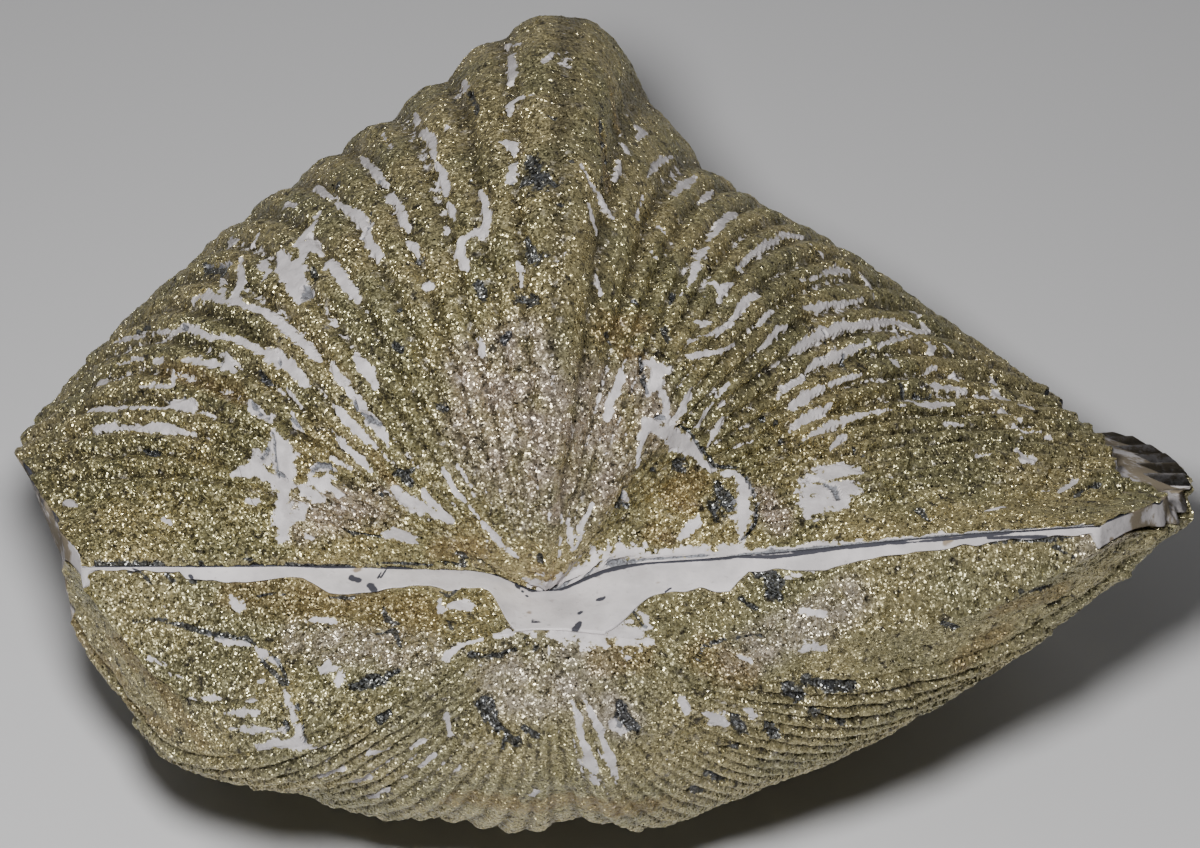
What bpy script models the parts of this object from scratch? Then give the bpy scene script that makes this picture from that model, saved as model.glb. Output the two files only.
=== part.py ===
"""A fossil spiriferid brachiopod, turned to pyrite, lying at rest on its pedicle valve.

Two ribbed valves grew from a beak each, every part of the margin sweeping a spiral as the shell
widened.  Grey shale fills the shell and shows between the valves.

Shell axes: x runs along the hinge, y from the hinge to the front margin, z from the pedicle
valve up to the brachial valve, with the brachial beak at the origin.  The finished shell is then
tipped front end down into the position in which it rests on a table.
"""
import bpy
import bmesh
import numpy as np
from math import cos, sin, pi, acos, radians

# ---------------------------------------------------------------- driving dimensions, metres
LENGTH = 0.0368              # hinge line to front margin
WIDEST_AHEAD = 0.0086        # the widest line lies this far ahead of the hinge
HALF_WIDTH = (0.0252, 0.0310)        # left side, right side with its drawn-out wing
WING_TAPER = (0.13, 0.15)    # share by which the outline narrows back to the hinge ends
TAPER_START = 0.72           # place along the margin where that narrowing begins

FOLD_HEIGHT = 0.0168         # lift of the margin in the middle, fold above and sulcus below
FOLD_WIDTH = (0.0146, 0.0074)        # gentle left side, steep right side
FOLD_POWER = (1.69, 1.73)
FOLD_OFFSET = 0.0023         # the fold leans this far to the right
FLANK_LIFT = (0.0033, 0.0003)        # the margin's rise half way along each flank
WING_LIFT = (-0.0012, 0.0006)        # the margin's rise close to each wing

PEDICLE_BEAK = (0.0, -0.0037, -0.0015)
BEAK_DROP = 0.0009           # the tip of the brachial beak hangs below the hinge line
BEAK_DROP_REACH = 0.085      # share of growth within which it hangs
SEAM = 0.0011                # distance between the margins of the two valves
GAP = 0.0003                 # clearance between a valve and the shale
BAND = 0.00095               # height of the shale band under the hinge line

# The hinge line isn't straight: it rises from the beak towards both ends, more on the right.
RISE_AT = (-0.020, -0.012, -0.006, 0.0, 0.003, 0.007, 0.011, 0.0155, 0.019, 0.025)
RISE = (0.00089, 0.00073, 0.00047, 0.00015, 0.00038, 0.00054, 0.00080, 0.00117, 0.00141, 0.00167)
RISE_REACH = 0.0050          # the rise fades over this distance from the hinge line

RIB_HEIGHT = 0.00050         # groove to crest at the margin
RIB_START = 0.041            # place along the margin of the groove by the middle of the fold
RIB_FADE = (0.86, 0.95)      # ribs die out between these places towards the hinge ends
LEDGES = ((0.552, 0.00022), (0.780, 0.00030), (0.918, 0.00026))   # growth halts: place, drop

REST_PITCH = 31.50           # degrees, front end down
REST_ROLL = -2.9             # degrees, the left side lower when negative

# Coiling of the valves.  Each list runs along the margin from the left hinge end, over the
# front, to the right hinge end: the angle turned from margin to beak, in radians, and the
# power by which the turning gathers near the beak.
STATIONS = np.array([-1.0, -0.7, -0.4, 0.0, 0.4, 0.7, 1.0])
BRACHIAL_TURN = (2.44, 2.39, 2.40, 2.47, 2.71, 2.54, 2.47)
BRACHIAL_POWER = (0.79, 0.89, 0.79, 0.56, 0.58, 0.31, 0.40)
PEDICLE_TURN = (3.34, 2.23, 2.36, 2.71, 2.56, 2.38, 2.55)
PEDICLE_POWER = (2.15, 1.28, 0.76, 0.65, 0.55, 0.76, 1.09)

# Width of one rib as a share of the half margin, at places along the margin.
RIB_PLACES = (-1.0, -0.8, -0.6, -0.3, 0.0, 0.10, 0.20, 0.50, 0.80, 1.0)
RIB_WIDTHS = (0.032, 0.036, 0.055, 0.078, 0.082, 0.078, 0.046, 0.037, 0.034, 0.034)

GROWTH_ROWS = (0.07, 0.13, 0.19, 0.26, 0.33, 0.40, 0.475, 0.545, 0.559, 0.63, 0.70, 0.773,
               0.787, 0.85, 0.912, 0.924, 0.965, 1.0)
FINE_FROM = 0.18             # rows nearer to the beak than this carry one column in four

CENTRE = np.array([0.0005, 0.0150, 0.0026])    # inner point of the brachial valve
CENTRE_DEPTH = 0.0024        # the pedicle valve's inner point lies this far below it

# Round dents and lumps: place in shell axes, radius, depth (a lump has a negative depth).
BRACHIAL_MARKS = (
    ((0.0065, -0.0020, 0.0046), 0.0027, 0.00055),
    ((-0.0009, 0.0140, 0.0172), 0.0011, 0.00050),
    ((-0.0008, 0.0060, 0.0130), 0.0009, 0.00040),
)


# ---------------------------------------------------------------- shape of the shell
def spread(values, place):
    """Smooth curve through one value per station."""
    values = np.asarray(values, float)
    place = np.asarray(place, float)
    slope = np.gradient(values, STATIONS)
    i = np.clip(np.searchsorted(STATIONS, place, side="right") - 1, 0, len(STATIONS) - 2)
    step = STATIONS[i + 1] - STATIONS[i]
    u = (place - STATIONS[i]) / step
    start = (2 * u**3 - 3 * u**2 + 1) * values[i] + (u**3 - 2 * u**2 + u) * step * slope[i]
    end = (3 * u**2 - 2 * u**3) * values[i + 1] + (u**3 - u**2) * step * slope[i + 1]
    return start + end


def ease(x):
    """Smooth change from 0 to 1 as x goes from 0 to 1."""
    x = np.clip(x, 0.0, 1.0)
    return x * x * (3 - 2 * x)


def window(x, a, b, c, d):
    """Rises from 0 to 1 between a and b and falls back between c and d."""
    return ease((x - a) / (b - a)) * ease((d - x) / (d - c))


def margin(place):
    """The line where the valves meet; place runs from -1 at the left hinge end to 1."""
    place = np.asarray(place, float)
    left = place < 0
    bend = acos(-WIDEST_AHEAD / (LENGTH - WIDEST_AHEAD))
    angle = place * bend
    half = np.where(left, HALF_WIDTH[0], HALF_WIDTH[1])
    taper = np.where(left, WING_TAPER[0], WING_TAPER[1])
    narrow = np.clip((np.abs(place) - TAPER_START) / (1 - TAPER_START), 0, 1) ** 2
    x = half * np.sin(angle) * (1 - taper * narrow)
    y = WIDEST_AHEAD + (LENGTH - WIDEST_AHEAD) * np.cos(angle)
    off = x - FOLD_OFFSET
    width = np.where(off < 0, FOLD_WIDTH[0], FOLD_WIDTH[1])
    power = np.where(off < 0, FOLD_POWER[0], FOLD_POWER[1])
    ends = 1 - place**2
    z = FOLD_HEIGHT * np.exp(-(np.abs(off) / width) ** power) * ends**0.25
    z = z + np.where(left, FLANK_LIFT[0], FLANK_LIFT[1]) * ends * place**2 * 4
    z = z + np.where(left, WING_LIFT[0], WING_LIFT[1]) * ends * place**4 * 6
    return x, y, z


def risen(points):
    """The same points with the rise of the hinge line added."""
    rise = np.interp(points[..., 0], RISE_AT, RISE)
    near = np.exp(-(points[..., 1] ** 2 + points[..., 2] ** 2) / RISE_REACH**2)
    return np.stack([points[..., 0], points[..., 1], points[..., 2] + rise * near], -1)


def seam(grown, place):
    """Drop of the lower valve's margin, which leaves room for the shale under a whole upper valve."""
    return SEAM * ease((grown - 0.50) / 0.38) * (1 - 0.9 * window(place, 0.57, 0.64, 0.80, 0.87))


def brachial(grown, place):
    """Point of the upper valve; grown is 0 at the beak and 1 at the margin."""
    x, y, z = margin(place)
    power = spread(BRACHIAL_POWER, place)
    turn = spread(BRACHIAL_TURN, place) * (1 - grown**power)
    hang = np.exp(-(grown / BEAK_DROP_REACH) ** 2)
    py = grown * (y * np.cos(turn) - z * np.sin(turn))
    pz = grown * (y * np.sin(turn) + z * np.cos(turn))
    return risen(np.stack([grown * x, py - 0.3 * BEAK_DROP * hang, pz - BEAK_DROP * hang], -1))


def pedicle(grown, place):
    """Point of the lower valve, which coils the other way about its own beak."""
    x, y, z = margin(place)
    bx, by, bz = PEDICLE_BEAK
    power = spread(PEDICLE_POWER, place)
    turn = -spread(PEDICLE_TURN, place) * (1 - grown**power)
    y = y - by
    z = z - bz
    py = by + grown * (y * np.cos(turn) - z * np.sin(turn))
    pz = bz + grown * (y * np.sin(turn) + z * np.cos(turn))
    return risen(np.stack([bx + grown * (x - bx), py, pz - seam(grown, place)], -1))


def outward(surface, grown, place, centre):
    """Unit normal of a valve's surface, pointing away from the inside."""
    small = 1e-4
    inner = np.clip(grown - small, 0.01, 1)
    low = np.clip(place - small, -1, 1)
    high = np.clip(place + small, -1, 1)
    along = surface(grown, place) - surface(inner, place)
    across = surface(grown, high) - surface(grown, low)
    normal = np.cross(along, across)
    normal = normal / (np.linalg.norm(normal, axis=-1, keepdims=True) + 1e-15)
    facing = np.sum(normal * (surface(grown, place) - centre), axis=-1, keepdims=True)
    return np.where(facing < 0, -normal, normal)


def rib_grooves():
    """Places of the grooves along the margin, one rib's width apart."""
    places = [RIB_START]
    while places[-1] < RIB_FADE[1]:
        places.append(places[-1] + np.interp(places[-1], RIB_PLACES, RIB_WIDTHS))
    while places[0] > -RIB_FADE[1]:
        places.insert(0, places[0] - np.interp(places[0], RIB_PLACES, RIB_WIDTHS))
    return [p for p in places if abs(p) < 0.985]


def columns():
    """Places of every column, with 1 where the brachial valve has a crest and 0 in a groove."""
    grooves = rib_grooves()
    places = [-1.0, -0.972]
    crest = [0.0, 0.0]
    for a, b in zip(grooves[:-1], grooves[1:]):
        places += [a, (a + b) / 2]
        crest += [0.0, 1.0]
    places += [grooves[-1], 0.974, 1.0]
    crest += [0.0, 0.0, 0.0]
    return np.array(places), np.array(crest)


def brachial_broken(place):
    """Share of the margin lost: the chipped right wing and a narrow strip at the left end."""
    right = 0.115 * window(place, 0.53, 0.60, 0.82, 0.90)
    left = 0.030 * window(place, -0.97, -0.93, -0.84, -0.78)
    return right + left


def pedicle_broken(place):
    """Share of the margin lost from the lower valve at the left end."""
    return 0.13 * window(place, -0.99, -0.82, -0.68, -0.50)


def lumps(points, size, seed):
    """Gentle unevenness of the crust, from a few crossed waves."""
    total = np.zeros(points.shape[:-1])
    for k in range(5):
        direction = np.array([cos(seed + 2.4 * k), sin(seed * 1.7 + 1.9 * k), cos(1.3 * k + seed * 0.6)])
        total += np.sin(points @ direction * (2 * pi / (size * (1 + 0.35 * k))) + seed * 5.1 + k)
    return total / 5


def relief(points, grown, place, crest):
    """Height of ribs and growth halts above the plain surface."""
    strength = ease((grown - 0.10) / 0.35) * (0.45 + 0.55 * grown)
    strength = strength * ease((RIB_FADE[1] - np.abs(place)) / (RIB_FADE[1] - RIB_FADE[0]))
    height = RIB_HEIGHT * strength * crest
    for at, drop in LEDGES:
        past = np.clip(grown - at, 0, 1)
        height = height - drop * np.where(past > 0, np.exp(-past / 0.06), 0) * strength
    return height + 0.00016 * lumps(points, 0.006, 1.0) * ease(grown / 0.3)


# ---------------------------------------------------------------- sheets and solids
class Row:
    """One growth line: the position of each column along it, and its points."""

    def __init__(self, along, points):
        self.along = np.asarray(along, float)
        self.points = np.asarray(points, float)


def brachial_rows(places, crest):
    rows = []
    for grown_row in GROWTH_ROWS:
        keep = slice(None) if grown_row > FINE_FROM else slice(None, None, 4)
        place = places[keep]
        place = place if place[-1] == 1.0 else np.append(place, 1.0)
        high = np.interp(place, places, crest) if grown_row > FINE_FROM else 0 * place
        grown = grown_row * (1 - brachial_broken(place) * grown_row**4)
        base = brachial(grown, place)
        normal = outward(brachial, grown, place, CENTRE)
        height = relief(base, grown, place, high)
        for spot, radius, depth in BRACHIAL_MARKS:
            away = np.linalg.norm(base - np.array(spot), axis=-1)
            height = height - depth * ease(1.6 * (1 - away / radius))
        edge = ease((1 - np.abs(place)) / 0.04)
        rows.append(Row(place, base + normal * (height * edge)[:, None]))
    return rows


def hinge_area(grown, side):
    """Points of the flat area of the lower valve between its ridge and the hinge line."""
    ridge = pedicle(np.array([grown]), np.array([float(side)]))[0]
    top = risen(np.array([ridge[0], 0.0, 0.0]))
    height = np.linalg.norm(top - ridge)
    share = 1 - (BAND * (1 - grown**3) + 0.00035) / height
    share = share * float(ease((grown - 0.08) / 0.12)) * float(ease((0.995 - grown) / 0.03))
    if share < 0.03:
        return []
    sag = np.array([0.0, 0.25, 0.1]) * height * 0.5
    return [ridge + (top - ridge) * share * q + sag * share * q * (1 - q) for q in (0.34, 0.67, 1.0)]


def pedicle_rows(places, crest):
    rows = []
    centre = CENTRE - np.array([0, 0, CENTRE_DEPTH])
    for grown_row in GROWTH_ROWS:
        keep = slice(None) if grown_row > FINE_FROM else slice(None, None, 4)
        place = places[keep]
        place = place if place[-1] == 1.0 else np.append(place, 1.0)
        high = 1 - np.interp(place, places, crest) if grown_row > FINE_FROM else 0 * place
        grown = grown_row * (1 - pedicle_broken(place) * grown_row**4)
        base = pedicle(grown, place)
        normal = outward(pedicle, grown, place, centre)
        height = relief(base, grown, place, high)
        crust = window(place, 0.66, 0.76, 0.93, 0.99) * ease((grown - 0.86) / 0.10)
        height = height + 0.00045 * crust * (0.6 + lumps(base, 0.0022, 4.0))
        edge = ease((1 - np.abs(place)) / 0.04)
        points = base + normal * (height * edge)[:, None]
        left = hinge_area(grown_row, -1)
        right = hinge_area(grown_row, 1)
        if left:
            points = np.vstack([left[::-1], points, right])
            place = np.concatenate([[-1.3, -1.2, -1.1], place, [1.1, 1.2, 1.3]])
        rows.append(Row(place, points))
    return rows


def sew(first, first_ids, second, second_ids):
    """Triangles between two neighbouring rows, whatever their number of columns."""
    faces = []
    i = j = 0
    while i < len(first_ids) - 1 or j < len(second_ids) - 1:
        more_first = i < len(first_ids) - 1
        more_second = j < len(second_ids) - 1
        if more_first and (not more_second or first[i + 1] <= second[j + 1] + 1e-9):
            faces.append((first_ids[i], first_ids[i + 1], second_ids[j]))
            i += 1
        else:
            faces.append((first_ids[i], second_ids[j + 1], second_ids[j]))
            j += 1
    return faces


def valve(rows, tip, centre):
    """Closed solid: the outer sheet from tip to margin, and its edge joined to an inner point."""
    points = [tip]
    ids = []
    for row in rows:
        ids.append(list(range(len(points), len(points) + len(row.points))))
        points += list(row.points)
    faces = [(0, a, b) for a, b in zip(ids[0][:-1], ids[0][1:])]
    for k in range(len(rows) - 1):
        faces += sew(rows[k].along, ids[k], rows[k + 1].along, ids[k + 1])
    edge = [0] + [line[0] for line in ids[:-1]] + ids[-1] + [line[-1] for line in ids[-2::-1]]
    points.append(centre)
    middle = len(points) - 1
    for a, b in zip(edge, edge[1:] + edge[:1]):
        faces.append((middle, a, b))
    return np.array(points), faces, np.array([points[i] for i in edge])


def shale(upper_edge, lower_edge, places):
    """The fill between the valves, showing as a band along the hinge and the margin."""
    lift = np.array([0, 0, GAP])
    top = upper_edge - lift
    low = lower_edge + lift
    side = len(GROWTH_ROWS)
    steps = 3
    rings = []
    for k in range(steps + 1):
        q = k / steps
        ring = top + (low - top) * q
        if 0 < k < steps:
            lost = pedicle_broken(places)
            face = pedicle(1 - lost * q, places)
            normal = outward(pedicle, 1 - lost * q, places, CENTRE)
            weight = ease(lost / 0.06)[:, None]
            body = ring[side:side + len(places)]
            ring[side:side + len(places)] = body + weight * (face - normal * 0.0005 - body)
        rings.append(ring)
    count = len(top)
    points = np.vstack(rings + [CENTRE - lift, CENTRE - np.array([0, 0, CENTRE_DEPTH]) + lift])
    faces = []
    for k in range(steps):
        for a in range(count):
            b = (a + 1) % count
            p, q = k * count, (k + 1) * count
            faces += [(p + a, p + b, q + b), (p + a, q + b, q + a)]
    roof, floor = len(points) - 2, len(points) - 1
    for a in range(count):
        b = (a + 1) % count
        faces += [(roof, b, a), (floor, steps * count + a, steps * count + b)]
    return points, faces


# ---------------------------------------------------------------- resting position and objects
def lay_down(points):
    """Tip the shell front end down into its resting position."""
    p, r = radians(-REST_PITCH), radians(REST_ROLL)
    pitch = np.array([[1, 0, 0], [0, cos(p), -sin(p)], [0, sin(p), cos(p)]])
    roll = np.array([[cos(r), 0, sin(r)], [0, 1, 0], [-sin(r), 0, cos(r)]])
    return points @ (roll @ pitch).T


def new_object(name, points, faces, colour, roughness, metallic):
    mesh = bpy.data.meshes.new(name)
    mesh.from_pydata([tuple(p) for p in points], [], faces)
    body = bmesh.new()
    body.from_mesh(mesh)
    bmesh.ops.remove_doubles(body, verts=body.verts, dist=1e-6)
    bmesh.ops.recalc_face_normals(body, faces=body.faces)
    if body.calc_volume(signed=True) < 0:
        bmesh.ops.reverse_faces(body, faces=body.faces)
    body.to_mesh(mesh)
    body.free()
    material = bpy.data.materials.new(name + "_material")
    material.use_nodes = True
    shader = material.node_tree.nodes["Principled BSDF"]
    shader.inputs["Base Color"].default_value = (*colour, 1.0)
    shader.inputs["Roughness"].default_value = roughness
    shader.inputs["Metallic"].default_value = metallic
    mesh.materials.append(material)
    thing = bpy.data.objects.new(name, mesh)
    bpy.context.scene.collection.objects.link(thing)
    return thing


def main():
    for old in list(bpy.data.objects):
        bpy.data.objects.remove(old, do_unlink=True)
    places, crest = columns()
    upper_tip = brachial(np.array([0.02]), np.array([0.0]))[0]
    lower_tip = pedicle(np.array([0.02]), np.array([0.0]))[0]
    lower_centre = CENTRE - np.array([0, 0, CENTRE_DEPTH])
    upper = valve(brachial_rows(places, crest), upper_tip, CENTRE)
    lower = valve(pedicle_rows(places, crest), lower_tip, lower_centre)
    fill = shale(upper[2], lower[2], places)
    laid = [lay_down(solid[0]) for solid in (upper, lower, fill)]
    every = np.vstack(laid)
    low, high = every.min(axis=0), every.max(axis=0)
    base = np.array([(low[0] + high[0]) / 2, (low[1] + high[1]) / 2, low[2]])
    new_object("brachial_valve", laid[0] - base, upper[1], (0.40, 0.33, 0.16), 0.38, 0.80)
    new_object("pedicle_valve", laid[1] - base, lower[1], (0.36, 0.31, 0.17), 0.42, 0.75)
    new_object("shale_fill", laid[2] - base, fill[1], (0.50, 0.48, 0.48), 0.85, 0.0)


main()
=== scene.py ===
"""Looks of a pyritized spiriferid brachiopod: crystal crust, clay in the grooves, shale fill.

Each valve is built again at fine scale from the growth law of the source, in the shell's own
axes (x along the hinge, y to the front, z to the brachial side), then laid down in place.
"""
import bpy
import bmesh
import numpy as np
from mathutils import Matrix, Vector
from math import cos, sin, pi, acos, radians


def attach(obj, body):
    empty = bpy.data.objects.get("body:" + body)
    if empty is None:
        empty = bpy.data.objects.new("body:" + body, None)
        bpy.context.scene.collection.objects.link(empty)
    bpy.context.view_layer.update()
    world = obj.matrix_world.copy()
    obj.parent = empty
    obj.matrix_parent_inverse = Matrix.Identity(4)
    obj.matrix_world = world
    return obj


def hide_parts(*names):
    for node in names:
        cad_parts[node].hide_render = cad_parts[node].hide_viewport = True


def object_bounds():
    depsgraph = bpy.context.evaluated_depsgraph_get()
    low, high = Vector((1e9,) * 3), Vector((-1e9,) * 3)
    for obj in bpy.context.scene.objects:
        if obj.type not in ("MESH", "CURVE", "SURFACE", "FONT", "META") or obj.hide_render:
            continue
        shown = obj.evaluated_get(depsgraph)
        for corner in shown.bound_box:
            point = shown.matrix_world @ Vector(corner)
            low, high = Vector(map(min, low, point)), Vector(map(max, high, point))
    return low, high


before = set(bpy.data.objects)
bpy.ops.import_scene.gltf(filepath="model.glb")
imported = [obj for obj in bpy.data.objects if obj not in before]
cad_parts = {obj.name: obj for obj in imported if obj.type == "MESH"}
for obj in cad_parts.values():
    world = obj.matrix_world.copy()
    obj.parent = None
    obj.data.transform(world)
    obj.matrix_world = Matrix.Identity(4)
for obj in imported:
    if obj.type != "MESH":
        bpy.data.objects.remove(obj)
cad_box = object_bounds()

# ---------------------------------------------------------------- dimensions, as in the source
LENGTH, WIDEST_AHEAD = 0.0368, 0.0086
HALF_WIDTH, WING_TAPER, TAPER_START = (0.0252, 0.0310), (0.13, 0.15), 0.72
FOLD_HEIGHT, FOLD_WIDTH = 0.0168, (0.0146, 0.0074)
FOLD_POWER, FOLD_OFFSET = (1.69, 1.73), 0.0023
FLANK_LIFT, WING_LIFT = (0.0033, 0.0003), (-0.0012, 0.0006)
PEDICLE_BEAK = (0.0, -0.0037, -0.0015)
BEAK_DROP, BEAK_DROP_REACH = 0.0009, 0.085
SEAM = 0.0011
RISE_AT = (-0.020, -0.012, -0.006, 0.0, 0.003, 0.007, 0.011, 0.0155, 0.019, 0.025)
RISE = (0.00089, 0.00073, 0.00047, 0.00015, 0.00038, 0.00054, 0.00080, 0.00117, 0.00141, 0.00167)
RISE_REACH = 0.0050
RIB_HEIGHT, RIB_START, RIB_FADE = 0.00050, 0.041, (0.86, 0.95)
RIB_PLACES = (-1.0, -0.8, -0.6, -0.3, 0.0, 0.10, 0.20, 0.50, 0.80, 1.0)
RIB_WIDTHS = (0.032, 0.036, 0.055, 0.078, 0.082, 0.078, 0.046, 0.037, 0.034, 0.034)
LAST_GROOVE = 0.985
# Crater and pits of the upper valve: middle, radius and depth.
PITS = (((0.0065, -0.0020, 0.0046), 0.0027, 0.00055),
        ((-0.0009, 0.0140, 0.0172), 0.0011, 0.00050),
        ((-0.0008, 0.0060, 0.0130), 0.0009, 0.00040))
LEDGES, LEDGE_LENGTH = ((0.552, 0.00022), (0.780, 0.00030), (0.918, 0.00026)), 0.06
REST_PITCH, REST_ROLL = 31.50, -2.9
REST_BASE = np.array([0.003230, 0.016176, -0.021143])
# Coiling of each valve at stations along the margin, from the left hinge end to the right.
STATIONS = np.array([-1.0, -0.7, -0.4, 0.0, 0.4, 0.7, 1.0])
BRACHIAL_TURN = (2.44, 2.39, 2.40, 2.47, 2.71, 2.54, 2.47)
BRACHIAL_POWER = (0.79, 0.89, 0.79, 0.56, 0.58, 0.31, 0.40)
PEDICLE_TURN = (3.34, 2.23, 2.36, 2.71, 2.56, 2.38, 2.55)
PEDICLE_POWER = (2.15, 1.28, 0.76, 0.65, 0.55, 0.76, 1.09)
CENTRE = np.array([0.0005, 0.0150, 0.0026])
LOWER_CENTRE = CENTRE - np.array([0, 0, 0.0024])

# ---------------------------------------------------------------- dimensions of the looks
# Height of the clay band along the hinge, from the left end to the right.
BAND_AT = 0.001 * np.array([-20.4, -16.5, -16.2, -13.8, -11.5, -10.9, -10.4, -9.7, -8.8, -7.0,
                            -6.1, -5.2, -4.4, -2.9, -1.8, 4.3, 5.9, 7.0, 8.3, 8.7, 9.2, 10.4,
                            12.7, 14.2, 18.3, 20.6])
BAND = 0.001 * np.array([0.32, 0.34, 0.70, 0.85, 0.74, 0.80, 1.13, 1.60, 1.74, 1.55, 1.27, 1.31,
                         1.60, 1.41, 2.00, 2.10, 1.78, 1.70, 1.92, 1.45, 0.99, 0.85, 1.08, 0.75,
                         0.66, 0.45])
ROWS, FIRST_ROW = 256, 0.006    # growth rows from beak to margin, and the growth of the first
STEP = 0.000180                 # spacing of columns along a growth row
MARGIN_CALM = 0.04              # relief fades out over this share of a row at the hinge
JITTER, BLOCKS, SWELL = 0.000028, (0.00042, 0.00012), (0.0013, 0.00020)   # size and height
DARK_DEPTH = 0.00022            # dark marks lie this deep
TIP_LUMPS = 0.00045             # crusty lumps on the right end of the lower valve
TIGHT = 0.00006                 # the shale lies this close to the valves
SHALE_STEPS, HINGE_SAMPLES, MARGIN_SAMPLES = 16, 330, 620
# The fill is darker brown past these ends: painted shade at the left end, a brown patch at the
# right end.
PAINTED_SHADE_LEFT, STAINED_RIGHT, SHADE_AND_STAIN_REACH = -0.0205, 0.0258, 0.0015

# View of the shell, in its own axes: camera height, turn and roll in degrees, metres away.
VIEW_HEIGHT, VIEW_TURN, VIEW_ROLL, VIEW_DISTANCE = 15.68, -0.55, -1.21, 0.185
PICTURE = (1200.0, 848.0)
PIXELS_PER_METRE = 22100.0
BEAK_IN_PICTURE = (545.0, 574.0)
SENSOR = 36.0


# ---------------------------------------------------------------- growth law
def spread(values, place):
    values = np.asarray(values, float)
    slope = np.gradient(values, STATIONS)
    i = np.clip(np.searchsorted(STATIONS, place, side="right") - 1, 0, len(STATIONS) - 2)
    step = STATIONS[i + 1] - STATIONS[i]
    u = (place - STATIONS[i]) / step
    start = (2 * u**3 - 3 * u**2 + 1) * values[i] + (u**3 - 2 * u**2 + u) * step * slope[i]
    end = (3 * u**2 - 2 * u**3) * values[i + 1] + (u**3 - u**2) * step * slope[i + 1]
    return start + end


def ease(x):
    x = np.clip(x, 0.0, 1.0)
    return x * x * (3 - 2 * x)


def window(x, a, b, c, d):
    return ease((x - a) / (b - a)) * ease((d - x) / (d - c))


def margin(place):
    left = place < 0
    bend = acos(-WIDEST_AHEAD / (LENGTH - WIDEST_AHEAD))
    angle = place * bend
    narrow = np.clip((np.abs(place) - TAPER_START) / (1 - TAPER_START), 0, 1) ** 2
    x = np.where(left, *HALF_WIDTH) * np.sin(angle) * (1 - np.where(left, *WING_TAPER) * narrow)
    y = WIDEST_AHEAD + (LENGTH - WIDEST_AHEAD) * np.cos(angle)
    off = x - FOLD_OFFSET
    ends = 1 - place**2
    reach = np.abs(off) / np.where(off < 0, *FOLD_WIDTH)
    z = FOLD_HEIGHT * np.exp(-reach ** np.where(off < 0, *FOLD_POWER)) * ends**0.25
    z = z + np.where(left, *FLANK_LIFT) * ends * place**2 * 4
    z = z + np.where(left, *WING_LIFT) * ends * place**4 * 6
    return x, y, z


def risen(x, y, z):
    """The points, lifted near the hinge line."""
    near = np.exp(-(y ** 2 + z ** 2) / RISE_REACH**2)
    return np.stack([x, y, z + np.interp(x, RISE_AT, RISE) * near], -1)


def turned(y, z, turn, grown):
    """A margin point's y and z, scaled by its growth and turned about the hinge."""
    return (grown * (y * np.cos(turn) - z * np.sin(turn)),
            grown * (y * np.sin(turn) + z * np.cos(turn)))


def brachial(grown, place):
    x, y, z = margin(place)
    turn = spread(BRACHIAL_TURN, place) * (1 - grown ** spread(BRACHIAL_POWER, place))
    hang = np.exp(-(grown / BEAK_DROP_REACH) ** 2)
    py, pz = turned(y, z, turn, grown)
    return risen(grown * x, py - 0.3 * BEAK_DROP * hang, pz - BEAK_DROP * hang)


def pedicle(grown, place):
    x, y, z = margin(place)
    bx, by, bz = PEDICLE_BEAK
    turn = -spread(PEDICLE_TURN, place) * (1 - grown ** spread(PEDICLE_POWER, place))
    py, pz = turned(y - by, z - bz, turn, grown)
    open_right = 1 - 0.9 * window(place, 0.57, 0.64, 0.80, 0.87)
    seam = SEAM * ease((grown - 0.50) / 0.38) * open_right
    return risen(bx + grown * (x - bx), by + py, bz + pz - seam)


def outward(surface, grown, place, centre):
    small = 2e-4
    inner = np.clip(grown - small, 0.01, 1)
    low, high = np.clip(place - small, -1, 1), np.clip(place + small, -1, 1)
    here = surface(grown, place)
    normal = np.cross(here - surface(inner, place), surface(grown, high) - surface(grown, low))
    normal = normal / (np.linalg.norm(normal, axis=-1, keepdims=True) + 1e-15)
    facing = np.sum(normal * (here - centre), axis=-1, keepdims=True)
    return np.where(facing < 0, -normal, normal)


def rib_grooves():
    places = [RIB_START]
    while places[-1] < RIB_FADE[1]:
        places.append(places[-1] + np.interp(places[-1], RIB_PLACES, RIB_WIDTHS))
    while places[0] > -RIB_FADE[1]:
        places.insert(0, places[0] - np.interp(places[0], RIB_PLACES, RIB_WIDTHS))
    return np.array([p for p in places if abs(p) < LAST_GROOVE])


GROOVES = rib_grooves()


def rib_crest(place):
    """0 in a groove and 1 on a crest."""
    count = np.interp(place, GROOVES, np.arange(len(GROOVES)), left=0, right=len(GROOVES) - 1)
    return 1 - np.abs(2 * (count - np.floor(count)) - 1)


def brachial_broken(place):
    right = 0.115 * window(place, 0.53, 0.60, 0.82, 0.90)
    return right + 0.030 * window(place, -0.97, -0.93, -0.84, -0.78)


def pedicle_broken(place):
    return 0.13 * window(place, -0.99, -0.82, -0.68, -0.50)


# ---------------------------------------------------------------- seeded noise
LATTICE = 48


def noise(points, size, seed):
    """Smooth noise from 0 to 1 with features of the given size."""
    table = np.random.RandomState(seed).rand(LATTICE, LATTICE, LATTICE)
    q = points / size + 1000.0
    cell = np.floor(q).astype(int)
    f = ease(q - cell)
    total = np.zeros(points.shape[:-1])
    for corner in range(8):
        bit = np.array([corner & 1, corner >> 1 & 1, corner >> 2 & 1])
        i = (cell + bit) % LATTICE
        weight = np.prod(np.where(bit, f, 1 - f), axis=-1)
        total += weight * table[i[..., 0], i[..., 1], i[..., 2]]
    return total


def lumps(points, size, seed):
    """Sum of five waves, from -1 to 1."""
    total = np.zeros(points.shape[:-1])
    for k in range(5):
        way = np.array([cos(seed + 2.4 * k), sin(seed * 1.7 + 1.9 * k), cos(1.3 * k + seed * 0.6)])
        total += np.sin(points @ way * (2 * pi / (size * (1 + 0.35 * k))) + seed * 5.1 + k)
    return total / 5


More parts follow.
